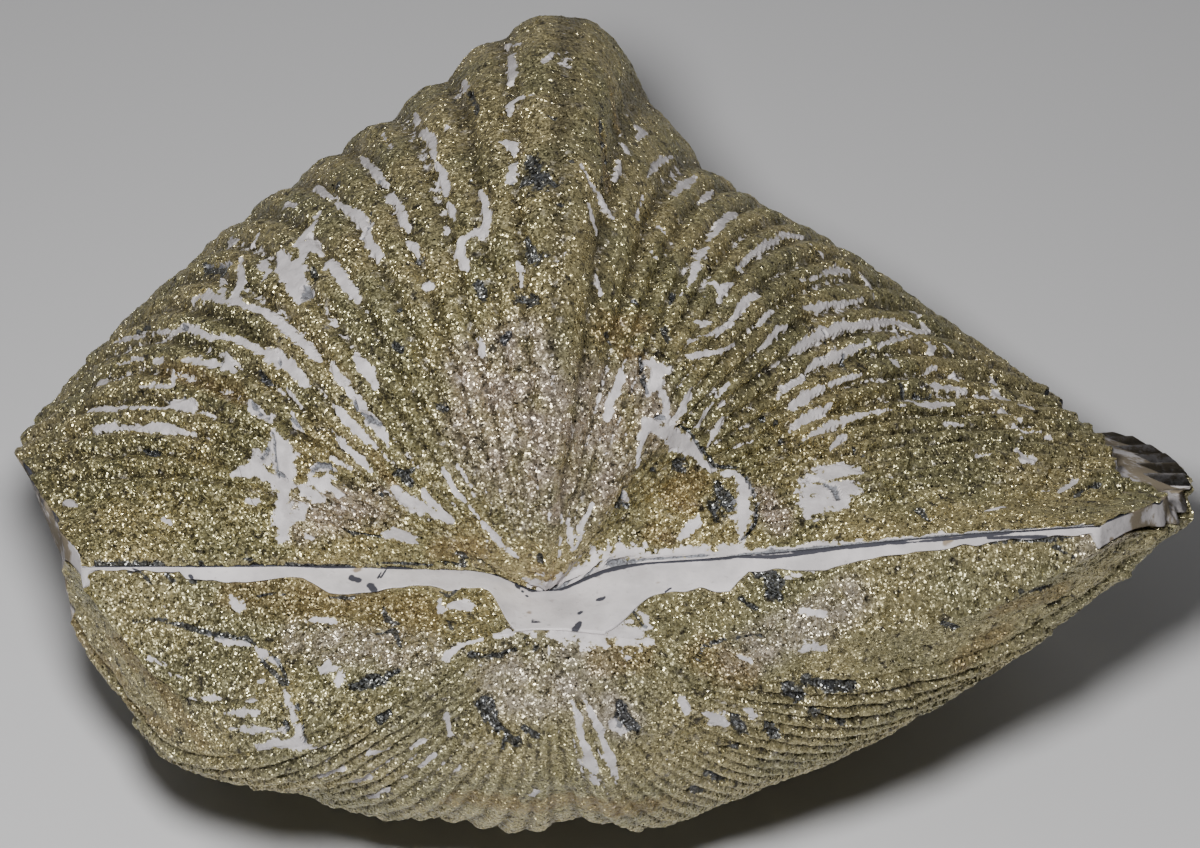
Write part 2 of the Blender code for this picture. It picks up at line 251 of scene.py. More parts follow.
# ---------------------------------------------------------------- fine sheets
def row_places(surface, grown):
    """Columns of one growth row, evenly spaced along it."""
    probe = np.linspace(-1, 1, 161)
    line = surface(np.full_like(probe, grown), probe)
    run = np.concatenate([[0], np.cumsum(np.linalg.norm(np.diff(line, axis=0), axis=1))])
    count = max(14, int(run[-1] / STEP))
    return np.interp(np.linspace(0, run[-1], count), run, probe)


def hinge_area(grown, side):
    """Points of the flat area of the lower valve, from its ridge up towards the hinge line."""
    ridge = pedicle(np.array([grown]), np.array([float(side)]))[0]
    top = risen(ridge[0], 0.0, 0.0)
    height = np.linalg.norm(top - ridge)
    bare = np.interp(ridge[0], BAND_AT, BAND) + 0.00022 * (noise(ridge, 0.0007, 21) - 0.5)
    opening = (grown - 0.055) / 0.07 if side < 0 else (grown - 0.09) / 0.11
    share = (1 - bare / height) * float(ease(opening)) * float(ease((0.998 - grown) / 0.012))
    if share < 0.03:
        return np.zeros((0, 3))
    sag = np.array([0.0, 0.25, 0.1]) * height * 0.5
    q = np.linspace(0, 1, max(2, int(height * share / STEP) + 1))[1:, None]
    return ridge + (top - ridge) * share * q + sag * share * q * (1 - q)


def sew(first, a0, second, b0):
    """Triangles between two rows of different length; a0 and b0 are their first vertices."""
    faces = []
    i = j = 0
    na, nb = len(first) - 1, len(second) - 1
    while i < na or j < nb:
        if i < na and (j == nb or first[i + 1] <= second[j + 1]):
            faces.append((a0 + i, a0 + i + 1, b0 + j))
            i += 1
        else:
            faces.append((a0 + i, b0 + j + 1, b0 + j))
            j += 1
    return faces


class Sheet:
    """Fine surface of one valve: plain points with their growth and place, and triangles.

    along is the place, continued past -1 and 1 over the hinge area of the lower valve.
    """

    def __init__(self, surface, broken, centre, area):
        rows, self.faces, self.row_start = [], [], [0]
        for k in range(ROWS + 1):
            g = FIRST_ROW + (1 - FIRST_ROW) * k / ROWS
            p = row_places(surface, g)
            gg = g * (1 - broken(p) * g**4)
            points = surface(gg, p)
            if area:
                left, right = hinge_area(g, -1), hinge_area(g, 1)
                q, s = np.arange(1, len(left) + 1), np.arange(1, len(right) + 1)
                p = np.concatenate([-1 - q[::-1] / max(1, len(q)), p, 1 + s / max(1, len(s))])
                gg = np.concatenate([np.full(len(q), g), gg, np.full(len(s), g)])
                points = np.vstack([left[::-1], points, right])
            if rows:
                self.faces += sew(rows[-1][1], self.row_start[-2], p, self.row_start[-1])
            rows.append((gg, p, points))
            self.row_start.append(self.row_start[-1] + len(p))
        self.grown, self.along = (np.concatenate([row[i] for row in rows]) for i in (0, 1))
        self.place = np.clip(self.along, -1, 1)
        self.base, self.centre = np.vstack([row[2] for row in rows]), centre
        self.normal = self.mesh_normals(self.base)

    def mesh_normals(self, points):
        tri = np.array(self.faces)
        a, b, c = points[tri[:, 0]], points[tri[:, 1]], points[tri[:, 2]]
        face = np.cross(b - a, c - a)
        total = np.zeros_like(points)
        for k in range(3):
            np.add.at(total, tri[:, k], face)
        total /= np.linalg.norm(total, axis=1, keepdims=True) + 1e-18
        facing = np.sum(total * (points - self.centre), axis=1, keepdims=True)
        return total * np.where(np.median(facing) < 0, -1.0, 1.0)

    def nearest(self, spots):
        """Index of the point nearest to each growth and place."""
        across = 0.03 * np.maximum(self.grown, 0.1)
        return [np.argmin(((self.grown - g) * LENGTH) ** 2 + ((self.along - p) * across) ** 2)
                for g, p in spots]

    def closed(self, points, fields):
        """The sheet with its edge joined to the valve's inner point."""
        starts = self.row_start
        rows = len(starts) - 1
        left = [starts[k] for k in range(rows)]
        right = [starts[k + 1] - 1 for k in range(rows)]
        first, last = (list(range(starts[k], starts[k + 1])) for k in (0, rows - 1))
        edge = left + last[1:] + right[-2::-1] + first[-2:0:-1]
        extra = [(len(points), a, b) for a, b in zip(edge, edge[1:] + edge[:1])]
        fields = {key: np.append(values, 0.0) for key, values in fields.items()}
        return np.vstack([points, self.centre]), self.faces + extra, fields


def rib_fade(place):
    return ease((RIB_FADE[1] - np.abs(place)) / (RIB_FADE[1] - RIB_FADE[0]))


def rib_height(strength, crest):
    return RIB_HEIGHT * strength * ease(crest * 1.15) ** 0.8


def rib_relief(grown, place, base, lower):
    """Height of ribs, growth halts and lumps, the crests, and how strong the ribs are."""
    crest = rib_crest(place)
    crest = 1 - crest if lower else crest
    strength = ease((grown - 0.05) / 0.38) * (0.45 + 0.55 * grown) * rib_fade(place)
    height = rib_height(strength, crest)
    for at, drop in LEDGES:
        past = np.clip(grown - at, 0, 1)
        height = height - drop * np.where(past > 0, np.exp(-past / LEDGE_LENGTH), 0) * strength
    height = height + 0.00016 * lumps(base, 0.006, 1.0) * ease(grown / 0.3)
    return height, crest, strength


def to_world(points):
    p, r = radians(-REST_PITCH), radians(REST_ROLL)
    pitch = np.array([[1, 0, 0], [0, cos(p), -sin(p)], [0, sin(p), cos(p)]])
    roll = np.array([[cos(r), 0, sin(r)], [0, 1, 0], [-sin(r), 0, cos(r)]])
    return points @ (roll @ pitch).T - REST_BASE


def link(name, data):
    item = bpy.data.objects.new(name, data)
    bpy.context.scene.collection.objects.link(item)
    return item


def new_piece(name, points, faces, material, fields, smooth):
    points = np.clip(to_world(points), *np.array(cad_box))
    mesh = bpy.data.meshes.new(name)
    mesh.from_pydata(points.tolist(), [], [tuple(map(int, f)) for f in faces])
    for key, values in fields.items():
        layer = mesh.attributes.new(key, "FLOAT", "POINT")
        layer.data.foreach_set("value", np.asarray(values, np.float32))
    body = bmesh.new()
    body.from_mesh(mesh)
    bmesh.ops.recalc_face_normals(body, faces=body.faces)
    if body.calc_volume(signed=True) < 0:
        bmesh.ops.reverse_faces(body, faces=body.faces)
    body.to_mesh(mesh)
    body.free()
    mesh.polygons.foreach_set("use_smooth", np.full(len(mesh.polygons), smooth))
    mesh.materials.append(material)
    return link(name, mesh)


# ---------------------------------------------------------------- clay, tarnish and glitter
# Marks on the shell, drawn as runs of points with a half width in hundredths of a
# millimetre.  On the valves a point is its growth and place, in thousandths; place goes on
# past 1000 over the hinge area.  On the fill it is x, y and z, in hundredths of a millimetre.
UPPER_MARKS = {
"clay": (
    (596,-587,9, 577,-583,18, 561,-577,20, 515,-577,23, 472,-574,23, 453,-577,20, 441,-573,9),
    (697,-658,20, 682,-653,25, 654,-653,23, 631,-655,16, 608,-646,16, 581,-640,18, 538,-634,23,
    503,-628,32, 480,-624,29, 460,-629,23, 445,-631,11), (852,-653,14, 794,-658,14, 697,-663,14),
    (666,-701,11, 647,-696,20, 623,-695,20, 585,-684,25, 573,-688,11), (596,-667,9, 588,-680,20),
    (724,-710,9, 709,-708,23), (810,-703,16, 794,-701,16, 748,-707,9), (911,-690,16), (845,-722,23,
    825,-730,16), (736,-748,9, 720,-746,16, 674,-741,14, 682,-719,7), (845,-770,16, 814,-772,20,
    779,-777,14, 697,-776,9, 678,-768,18, 658,-766,27, 639,-763,27, 635,-767,9), (678,-763,7,
    654,-753,9), (834,-800,16, 807,-800,20, 776,-804,11, 741,-807,9, 718,-804,23, 699,-802,29,
    677,-800,20, 649,-806,9), (530,-720,14, 519,-728,18, 487,-731,9), (456,-696,14, 449,-706,18,
    433,-711,9), (472,-661,7, 445,-671,9), (480,-749,23, 468,-765,50, 464,-788,54, 467,-830,45,
    483,-874,38, 506,-921,57, 530,-956,36), (484,-781,32, 506,-807,45, 533,-839,36, 560,-848,18,
    575,-858,9), (521,-835,32, 490,-839,23), (460,-898,27, 494,-913,32), (563,-900,16,
    537,-894,16), (654,-361,18, 631,-364,20, 604,-362,11), (670,-410,14, 643,-405,14),
    (592,-392,16, 585,-407,20, 581,-432,25, 577,-452,34, 565,-459,45), (596,-483,18, 581,-492,36,
    561,-497,59, 557,-476,54, 534,-510,54, 515,-517,36, 511,-527,14), (565,-441,27, 534,-439,9),
    (612,-514,23, 592,-521,27, 592,-538,14), (654,-527,18, 635,-545,25, 623,-568,32, 619,-587,27,
    592,-590,11), (732,-540,11, 666,-536,14), (697,-609,14, 685,-596,25, 647,-595,27, 616,-590,23),
    (674,-562,11, 647,-585,16), (732,-488,18, 705,-496,18), (658,-494,18, 658,-478,14),
    (511,-453,9, 515,-436,20, 487,-433,27, 468,-437,23, 453,-432,25, 441,-433,14), (588,-363,9,
    561,-354,20, 534,-347,27, 511,-343,29, 487,-354,23, 464,-350,16, 460,-358,7), (647,-282,11,
    612,-284,18, 581,-281,20, 546,-277,9), (530,-281,18, 507,-274,20, 476,-277,20, 464,-274,11),
    (453,-285,14, 437,-274,18, 429,-277,9), (658,-237,14, 604,-240,11), (666,-184,9, 631,-186,18),
    (604,-188,14, 585,-179,25, 550,-181,20, 534,-183,9), (526,-183,11, 511,-178,18, 491,-179,23,
    476,-181,16), (464,-184,11, 449,-178,20, 437,-178,11), (670,-105,14, 639,-107,20),
    (577,-148,14, 573,-155,9), (654,-31,23, 612,-33,27, 600,-38,18), (557,-3,14, 561,-21,20,
    561,-40,23, 542,-44,9), (503,-57,14, 495,-42,29, 480,-39,11), (464,-43,18, 453,-46,20,
    449,-55,11), (456,-116,9, 437,-106,20, 418,-107,27, 402,-115,23, 410,-141,20, 410,-166,25,
    398,-183,25, 383,-176,25, 375,-172,11), (359,-48,9, 336,-43,7), (390,-283,18, 383,-268,16),
    (608,15,14, 623,26,14), (705,-38,9, 670,-16,9), (398,-508,16, 383,-506,29, 367,-505,23,
    352,-512,11), (421,-561,11, 406,-569,20, 390,-569,7), (383,-569,18, 355,-575,23, 332,-576,23,
    317,-577,23, 301,-590,7), (398,-621,9, 387,-619,16, 355,-625,18, 340,-628,18, 332,-630,9),
    (379,-677,7, 359,-680,16, 332,-684,16, 313,-688,9), (383,-728,7, 348,-721,7), (417,-798,14,
    410,-775,16, 394,-756,14, 371,-750,11), (410,-803,27, 386,-790,29, 367,-809,14), (437,-833,20,
    421,-835,36, 406,-847,23), (444,-878,27, 464,-906,23), (479,-950,18, 464,-949,14),
    (274,-696,16, 254,-700,27, 239,-694,34, 220,-683,36, 196,-662,27, 173,-655,9), (227,-614,14,
    212,-636,18, 177,-645,14), (289,-878,23, 270,-855,34, 254,-859,34, 235,-875,7), (220,-484,9,
    192,-505,14, 169,-498,7), (208,-422,7, 177,-418,7), (142,-496,9, 119,-483,14, 91,-482,16,
    68,-398,9), (161,-495,7, 126,-488,7), (301,-181,20, 286,-185,16), (460,71,14, 449,86,20,
    445,105,23, 437,120,20, 433,133,9), (425,89,18, 414,99,23, 402,111,14), (355,121,11,
    348,125,16, 340,135,7), (612,133,16, 623,143,16, 592,139,11), (546,125,18, 538,131,11),
    (515,125,11, 499,127,18, 484,126,11), (627,177,9, 596,171,18, 561,167,18, 522,162,9),
    (619,212,11, 600,211,23, 565,209,23, 534,208,16), (491,166,14, 472,167,11), (577,241,18,
    619,239,9), (592,287,14, 573,286,23, 530,291,20, 503,294,18, 484,292,7), (468,297,14,
    441,300,23, 425,305,20, 402,305,9, 383,302,7), (464,166,14, 453,170,18), (460,207,11,
    456,221,11), (418,212,11, 414,225,11), (639,369,9, 596,359,16, 546,362,18, 507,361,18,
    464,361,7), (619,391,14, 631,407,11), (421,343,14, 418,361,18, 441,372,11), (421,365,20,
    406,373,11), (456,418,11, 437,408,18, 421,409,20, 398,415,11, 371,409,7), (363,354,9,
    371,376,20), (340,366,7, 363,397,9, 383,409,7), (464,486,11, 445,479,20, 425,485,23,
    410,489,9), (460,452,7, 441,452,14, 425,455,7), (507,472,14, 530,481,23, 550,481,14,
    588,485,11, 631,483,9), (534,437,9, 569,440,9, 600,436,14, 623,435,23, 651,437,20), (441,523,9,
    453,521,20, 484,518,27, 511,513,29, 534,515,29, 561,514,25, 588,519,18, 658,515,16, 682,521,16,
    693,529,18, 720,528,11), (674,440,11, 678,452,16, 658,479,9), (460,556,14, 483,552,25,
    506,553,32, 533,552,25, 564,548,16, 583,547,16), (594,554,11, 638,544,16), (658,524,9,
    641,547,14, 677,537,9), (477,590,9, 507,589,16, 537,589,9), (604,579,20, 610,584,20),
    (732,493,14, 713,515,14, 728,525,9), (691,546,11, 704,552,23, 692,564,16), (728,548,11,
    738,558,9), (658,594,11, 676,591,11), (627,621,11, 648,621,20, 675,624,23, 705,630,11),
    (708,596,11, 698,616,11), (595,641,11, 613,653,20, 641,655,25, 665,656,11), (630,696,11,
    661,699,9), (584,651,7, 544,658,9, 507,656,14, 477,660,20, 458,659,23, 431,668,18, 401,684,7),
    (448,565,11, 436,567,14, 409,570,14, 390,579,7), (466,592,16, 450,592,23, 428,599,29,
    405,607,18), (465,624,11, 447,629,23, 420,635,23, 386,652,9), (469,690,11, 454,702,18,
    435,728,9), (758,613,11, 758,634,23, 773,643,20, 806,642,18, 814,655,11), (786,591,11,
    767,619,11), (746,664,14, 746,682,18, 758,698,9), (746,704,9, 749,727,14, 773,726,9),
    (776,728,9, 792,733,11), (727,770,9, 736,801,23, 752,802,16), (658,799,9, 682,793,11),
    (821,899,14, 826,876,23, 830,860,16), (794,896,9, 809,894,9), (744,956,9, 767,946,9),
    (933,-907,18, 920,-919,18), (766,-947,16, 756,-950,14), (393,806,27, 408,805,41, 431,801,54,
    454,797,45, 477,815,18), (401,853,45, 428,856,63, 459,859,59, 486,868,23), (410,889,36,
    429,901,54, 449,899,45, 472,898,29), (425,922,23, 445,939,14), (293,308,27, 289,334,36,
    274,342,27, 258,339,11), (293,330,32, 293,352,23), (270,378,18, 262,406,23, 247,430,23),
    (270,236,14, 262,237,23, 247,239,27, 231,228,25, 220,232,27), (239,413,23, 231,381,25,
    216,393,23, 204,406,18, 181,457,9), (231,407,27, 235,452,41, 235,503,43, 243,543,38,
    251,583,29, 251,625,25, 258,660,20, 274,693,14, 289,711,16, 297,745,23, 301,797,36, 305,846,48,
    313,892,43, 321,932,29, 332,960,18, 352,985,9), (297,441,11, 286,449,20, 270,461,18,
    254,454,9), (305,509,11, 289,515,18, 270,532,9), (305,557,14, 285,577,16, 270,596,7),
    (336,500,11, 313,503,9), (324,385,14, 336,406,14, 355,434,11, 379,449,9), (216,909,18,
    223,885,23, 231,862,18, 231,833,9), (146,503,11, 138,562,20), (99,184,11, 76,287,14, 60,449,9),
    (107,123,7, 60,188,7), (122,325,9, 99,312,11, 72,373,9), (18,-499,63, 18,136,77, 45,938,113,
    91,1000,100, 130,1000,86, 177,1000,81, 223,1000,72, 278,1000,68, 321,1000,70, 344,1000,48,
    367,1000,29, 414,1000,23, 456,1000,29, 503,1000,36, 530,1000,38, 565,1000,23, 639,1000,18,
    728,1000,18, 794,1000,18, 837,1000,11, 891,1000,14, 946,1000,14, 988,1000,11),
),
# dark marks: partly dark pits and cracks, sunk into the crust, and partly painted shade along the
# hinge seam and round the crater rim
"dark": (
    (464,-5,36, 449,0,54, 433,10,50), (445,-29,32, 437,31,32), (324,-48,27, 321,-28,41, 317,-1,27),
    (355,-153,18, 348,-153,29, 340,-154,23), (371,-20,36, 359,1,41), (425,-280,20, 421,-271,18),
    (332,304,18, 328,317,18), (301,169,20, 297,187,18), (383,286,14, 371,291,11), (348,210,14,
    348,218,14), (274,-369,18, 266,-364,20), (289,-114,20, 293,-88,14), (363,-413,16, 352,-404,16),
    (220,583,29, 223,611,27), (262,733,27, 270,783,45, 278,828,36), (254,796,32, 262,856,32),
    (150,480,18, 138,514,18), (130,510,20, 134,603,16), (495,-787,20, 506,-807,14), (484,-751,7,
    480,-780,7, 479,-827,7), (471,-824,9, 464,-828,7), (414,-786,9, 402,-761,14, 383,-747,14,
    379,-765,9), (355,-585,9, 340,-576,14, 324,-566,11), (371,-575,9, 363,-585,7), (689,-763,7,
    651,-752,9), (526,-718,9, 511,-730,9, 495,-728,7), (456,-703,9, 441,-709,9), (689,-653,11,
    682,-653,9), (503,-628,11, 499,-632,9), (604,-678,7, 600,-687,7), (526,-470,20, 511,-473,18),
    (519,-501,20, 511,-507,23), (522,-324,5, 507,-344,7, 503,-360,7), (519,514,7, 519,530,7,
    499,547,7, 487,550,7), (528,559,18, 519,575,18), (580,543,11, 575,555,9), (473,730,11,
    481,757,14), (613,632,9, 634,636,9, 644,633,7), (595,614,14, 595,630,18), (293,276,9,
    270,307,11, 262,335,9), (251,479,7, 258,527,9, 258,582,9, 266,634,14, 266,657,18, 293,690,7,
    305,740,7, 312,794,7, 324,856,9, 336,909,9, 336,936,7, 332,952,7), (243,400,14, 247,418,14),
    (386,792,7, 405,812,7, 424,830,11, 444,854,16, 460,888,11), (480,-131,7), (534,92,11,
    499,109,14, 491,119,11), (305,-741,7, 289,-739,9), (382,-910,7, 371,-916,9, 309,-897,7),
    (274,-629,16, 251,-637,18), (278,-646,11, 254,-584,11), (969,-1000,7, 907,-1000,7,
    821,-1000,5), (744,-1000,5, 635,-997,5, 542,-1000,9, 487,-1000,11, 433,-1000,9, 348,-989,5,
    262,-984,9, 192,-961,7, 134,-962,7, 91,-941,7, 49,-808,9, 22,-678,11, 25,1000,11, 41,933,7,
    72,1000,7, 88,905,7), (107,951,16, 134,980,20, 157,983,11), (165,984,5, 220,988,5, 274,991,5,
    352,1000,7, 406,1000,11, 460,1000,9, 534,1000,9, 585,1000,8, 639,1000,7, 732,1000,7,
    821,1000,7, 872,997,7, 930,1000,7, 984,997,7), (355,-994,5, 352,-1000,5), (64,-65,14,
    56,-62,14), (157,-869,27, 154,-909,27), (122,-827,14, 84,-858,11), (876,944,23, 942,977,18),
    (852,904,14, 871,868,14), (616,937,16, 654,963,16), (538,88,16, 503,97,14), (810,-850,16),
    (741,-836,14, 718,-844,18), (798,-651,18, 763,-655,14), (732,-545,32, 678,-545,27),
    (530,-668,20, 511,-675,16), (643,-129,20), (623,-101,18, 573,-96,18), (616,-342,18),
    (569,-283,18), (546,-55,11), (390,-364,14), (414,47,18), (464,58,14), (519,29,14),
    (359,604,20), (370,664,18), (370,622,14), (243,651,16), (188,535,16),
),
"brown": (
    (219,645,59, 239,687,59), (165,860,59, 192,898,50), (216,769,54, 196,670,54), (301,147,68,
    328,240,68), (705,-720,54, 627,-718,54, 550,-712,54), (196,-882,68, 126,-719,68), (526,90,54,
    472,114,54), (616,95,36, 581,119,36), (45,-116,41, 33,196,41), (321,139,36, 317,170,32),
    (289,215,32, 293,276,32), (317,-645,27, 278,-673,32), (355,-912,11, 305,-874,11),
),
"pale": (
    (254,-151,136, 208,-98,249, 181,-13,238, 157,86,226), (231,159,136, 196,219,136, 161,281,136),
    (278,-212,113, 274,-62,113), (270,295,90, 231,431,90), (467,-914,81, 371,-851,81, 293,-768,81),
    (324,835,59, 379,920,59),
),
"silt": (
    (627,-354,136, 503,-326,124, 433,-269,113), (701,-492,136, 592,-515,136, 515,-523,136,
    449,-512,136), (884,-655,136, 732,-709,136, 631,-710,136, 534,-684,136, 449,-643,136),
    (836,-788,90, 730,-803,90, 619,-794,90), (433,-589,136, 379,-602,128, 324,-621,121,
    266,-645,113), (670,-195,113, 534,-196,113, 453,-184,113), (654,-97,113, 616,-29,113,
    616,33,113), (573,147,113, 596,194,121, 573,248,128, 538,318,136), (441,286,113, 425,372,113,
    429,451,113), (522,366,136, 546,436,136, 608,485,136, 674,525,136), (429,524,158, 486,566,158,
    551,600,158, 613,627,158, 678,650,158), (278,436,136, 293,535,124, 324,601,113), (270,236,113,
    239,241,113, 204,265,113), (708,609,136, 758,668,124, 809,737,113), (192,-448,113,
    138,-404,102, 88,-281,90), (115,-26,136, 99,214,136, 95,538,136),
)}
LOWER_MARKS = {
"clay": (
    (18,1000,50, 49,1000,59, 76,1000,68, 122,2000,81, 138,1400,86, 165,1100,63, 181,1000,32),
    (161,2000,18, 177,1583,23, 181,1333,18), (107,-1000,27, 68,-2000,36, 37,-1000,41),
    (200,-1722,34, 165,-1611,38), (227,-1789,16, 223,-1526,16), (200,-937,18, 181,-961,23,
    169,-990,14, 134,-986,9), (173,2000,-23, 185,2000,-27), (480,2000,-16, 491,2000,-16),
    (433,1900,9, 456,1947,11, 484,2000,11), (678,-1867,18, 666,-1800,36, 651,-1767,27),
    (515,-1552,18, 484,-1615,23, 449,-1609,16), (480,-1040,18, 460,-1043,32, 433,-992,32,
    425,-975,23), (728,-1533,11, 697,-1500,16, 658,-1467,16, 639,-1433,11), (623,-1400,16,
    600,-1300,27, 573,-1200,16), (557,-997,11, 534,-977,27, 502,-947,32, 475,-915,27),
    (771,-1000,11, 713,-1033,14, 627,-997,14), (674,-982,18, 639,-981,25, 596,-975,14),
    (641,-955,14, 591,-946,23, 509,-926,18), (554,-908,14, 516,-906,23, 462,-890,27, 428,-870,11),
    (860,-1120,14, 825,-1179,14), (818,-1107,9, 790,-1133,9), (616,-1100,9, 604,-1100,9),
    (416,-781,9, 393,-781,14, 370,-775,9), (397,-723,9, 370,-696,16, 335,-687,11), (371,-584,11,
    324,-588,14), (254,-690,11, 235,-683,16, 219,-668,9), (258,-592,9, 227,-588,11), (320,-771,16,
    293,-750,14), (460,1421,18, 499,1389,18), (441,982,23, 468,994,36, 480,984,23), (324,976,14,
    340,961,14), (196,738,18, 208,707,20), (235,730,20, 247,718,36, 262,711,18), (293,800,16,
    301,773,16), (84,231,11, 103,225,14, 134,205,14, 157,205,23, 188,187,18), (91,340,9,
    126,321,14, 150,303,16, 173,289,18, 196,277,11), (6,1000,11, 25,85,9), (134,414,23,
    150,431,20), (196,-96,20, 185,-65,14), (185,-715,14, 192,-609,11),
),
# dark marks: partly dark pits and cracks, sunk into the crust, and partly painted shade along the
# edges of the valve
"dark": (
    (802,2000,7, 876,2000,9, 950,2000,11), (157,2000,7, 169,1455,11, 177,1333,9), (37,-847,14,
    25,-492,18), (227,-1947,7, 208,-1889,11, 192,-2000,7), (464,-1958,9, 418,-1955,11,
    398,-2000,7), (375,2000,16, 402,1950,32, 421,1800,27), (406,1700,36, 421,1600,23),
    (348,1722,11, 375,1500,14), (903,-2000,7, 876,-2000,7, 852,-1885,7), (818,-2000,14,
    806,-1931,18), (767,-2000,9, 759,-2000,11), (619,-1867,9, 592,-1867,9, 561,-1833,7),
    (122,-579,41, 130,-505,41, 134,-399,32), (130,-349,18, 138,-266,36, 130,-241,27), (111,-207,16,
    115,-109,20), (122,540,18, 134,486,32, 150,474,32, 161,494,20), (278,624,20, 293,645,23),
    (274,748,23, 289,707,27), (324,751,27, 340,716,32), (367,886,32, 383,860,36), (406,913,27,
    429,890,36, 472,889,27), (390,-958,20, 355,-953,32, 320,-947,23, 293,-951,11), (286,497,20,
    317,499,20), (293,414,23, 317,417,18), (142,-908,14, 88,-818,18, 56,-762,20), (305,-851,18,
    289,-851,20), (608,-1267,14, 581,-1133,11, 557,-1000,18), (549,-977,9, 534,-961,9),
    (514,-938,16, 502,-925,16), (895,-1381,9, 837,-1556,9, 783,-1567,11, 705,-1533,16,
    647,-1500,11, 623,-1433,7), (592,-1333,7, 565,-1167,9, 550,-1000,9, 507,-964,9, 467,-919,7,
    451,-887,5), (348,-1727,11, 340,-1500,16, 317,-1409,14), (359,-1318,11, 321,-1318,14,
    309,-1048,9), (208,-1389,11, 200,-1222,11), (922,1700,18, 953,1286,23), (829,925,20,
    849,920,16), (856,1071,14, 872,970,16), (717,1000,18, 705,970,20), (390,814,20, 433,783,20),
    (247,946,7, 282,1000,9, 317,1133,9, 383,1150,7),
),
"brown": (
    (658,-1933,113, 561,-1800,113, 464,-1875,113, 367,-1762,113, 270,-1524,113), (80,727,81,
    146,905,81), (794,980,68, 833,965,68, 860,944,68), (651,891,77, 744,928,77), (893,-945,27,
    851,-960,27), (262,980,90, 305,919,90), (274,-382,81, 231,-224,81, 212,-4,81, 231,168,81,
    282,288,81), (892,-968,59, 844,-980,59, 777,-967,59, 688,-933,59), (888,-883,59, 843,-912,59),
    (910,-887,54), (809,-883,45, 745,-927,36),
),
"pale": (
    (68,-433,136, 68,383,136), (103,441,77, 142,468,77), (321,959,81, 410,1100,81, 480,1278,81,
    546,1500,81), (984,1400,68, 1000,960,68), (526,-1379,81, 441,-1304,81, 352,-1136,81,
    262,-993,81),
),
"silt": (
    (80,203,113, 130,225,113, 188,217,113), (701,-1100,158, 572,-964,147, 439,-879,136),
    (397,-806,90, 308,-682,102, 235,-519,113),
)}
# Dark marks on the fill: partly painted shade along the seams under the valves, partly dark specks
# and lines in the shale.
FILL_DARK = (
    (-1556,-4,93,5, -1329,-9,98,5, -1127,-4,77,9, -1016,10,61,11, -902,-1,61,9, -743,-23,83,5,
    -563,-19,63,9, -427,-19,69,7, -292,-25,49,7, -203,-36,17,7, -113,-55,-8,9, -55,-58,-42,11,
    66,-32,-67,11, 112,-24,-38,7, 181,-6,-7,7, 250,8,43,7), (422,5,50,5, 562,3,58,5, 703,7,65,5,
    884,-1,59,7, 1019,-10,58,11, 1155,-11,69,9, 1336,-4,91,9, 1472,-1,98,8, 1608,-6,108,7,
    1834,-3,121,7, 2060,-2,139,7, 2198,12,150,7, 2337,6,162,7, 2479,18,169,7), (2006,-5,122,7,
    2195,-9,123,9, 2380,18,115,11), (-753,-62,20,5, -731,-3,53,5), (-739,-62,20,5, -705,21,49,5),
    (-146,-15,-30,7, -114,-58,-54,9), (-105,-69,-61,7, -79,-95,-76,7), (231,-175,-72,7,
    267,-170,-65,7), (395,-245,-100,7, 420,-305,-147,11, 442,-322,-161,9), (538,-153,-50,5,
    566,-133,-38,5), (144,-249,-112,11, 172,-227,-101,7), (129,-368,-147,18, 152,-317,-132,14),
    (-57,-312,-123,11, -25,-222,-107,18, 28,-239,-112,18, 54,-307,-128,14), (-473,-150,-25,7,
    -436,-184,-43,11, -401,-142,-20,7), (-870,-58,22,18, -842,-72,16,18), (-783,-112,-1,20,
    -769,-136,-12,16), (-1882,10,82,7, -1828,-3,57,7, -1776,-9,10,7), (-1602,-21,38,9,
    -1585,-19,18,11),
)


def traced(points, marks, sheet=None):
    """1 along the middle of the marks, a half at their edges, 0 away from them.

    A negative half width clears what other marks cover.
    """
    value = np.zeros(len(points))
    for mark in marks:
        mark = np.array(mark, float).reshape(-1, 4 if sheet is None else 3)
        half = mark[:, -1] * 1e-5
        wide = np.abs(half)
        if sheet is None:
            line = mark[:, :3] * 1e-5
        else:
            line = sheet.base[sheet.nearest(mark[:, :2] * 1e-3)]
        reach = 2 * wide.max()
        inside = (points > line.min(axis=0) - reach) & (points < line.max(axis=0) + reach)
        near = np.flatnonzero(np.all(inside, axis=1))
        if not len(near):
            continue
        p = points[near]
        ratio = np.linalg.norm(p - line[0], axis=1) / wide[0]
        for k in range(len(line) - 1):
            d = line[k + 1] - line[k]
            u = np.clip((p - line[k]) @ d / (d @ d + 1e-18), 0, 1)
            away = np.linalg.norm(p - line[k] - u[:, None] * d, axis=1)
            ratio = np.minimum(ratio, away / (wide[k] + u * (wide[k + 1] - wide[k])))
        level = np.clip(1 - 0.5 * ratio, 0, 1)
        if half[0] > 0:
            value[near] = np.maximum(value[near], level)
        else:
            value[near] = np.minimum(value[near], 1 - level)
    return value


# ---------------------------------------------------------------- materials
CRYSTAL, CLUSTER = 0.000085, 0.00024                    # sizes of the crystals
UPPER_CRUST = ((0.74, 0.635, 0.33), (0.54, 0.50, 0.27), (0.88, 0.74, 0.60))
LOWER_CRUST = ((0.72, 0.635, 0.35), (0.56, 0.52, 0.30), (0.86, 0.76, 0.61))
CRYSTAL_SHADES = ((0.25, 0.24, 0.22), (1.0, 1.0, 1.0))
# painted shade for the gaps between crystals and for the grooves
PAINTED_GAP_SHADE, PAINTED_GROOVE_SHADE = (0.085, 0.075, 0.055), (0.065, 0.055, 0.038)
TARNISH = (0.30, 0.21, 0.09)
CLAY_COLOURS = ((0.36, 0.335, 0.335), (0.55, 0.515, 0.515))
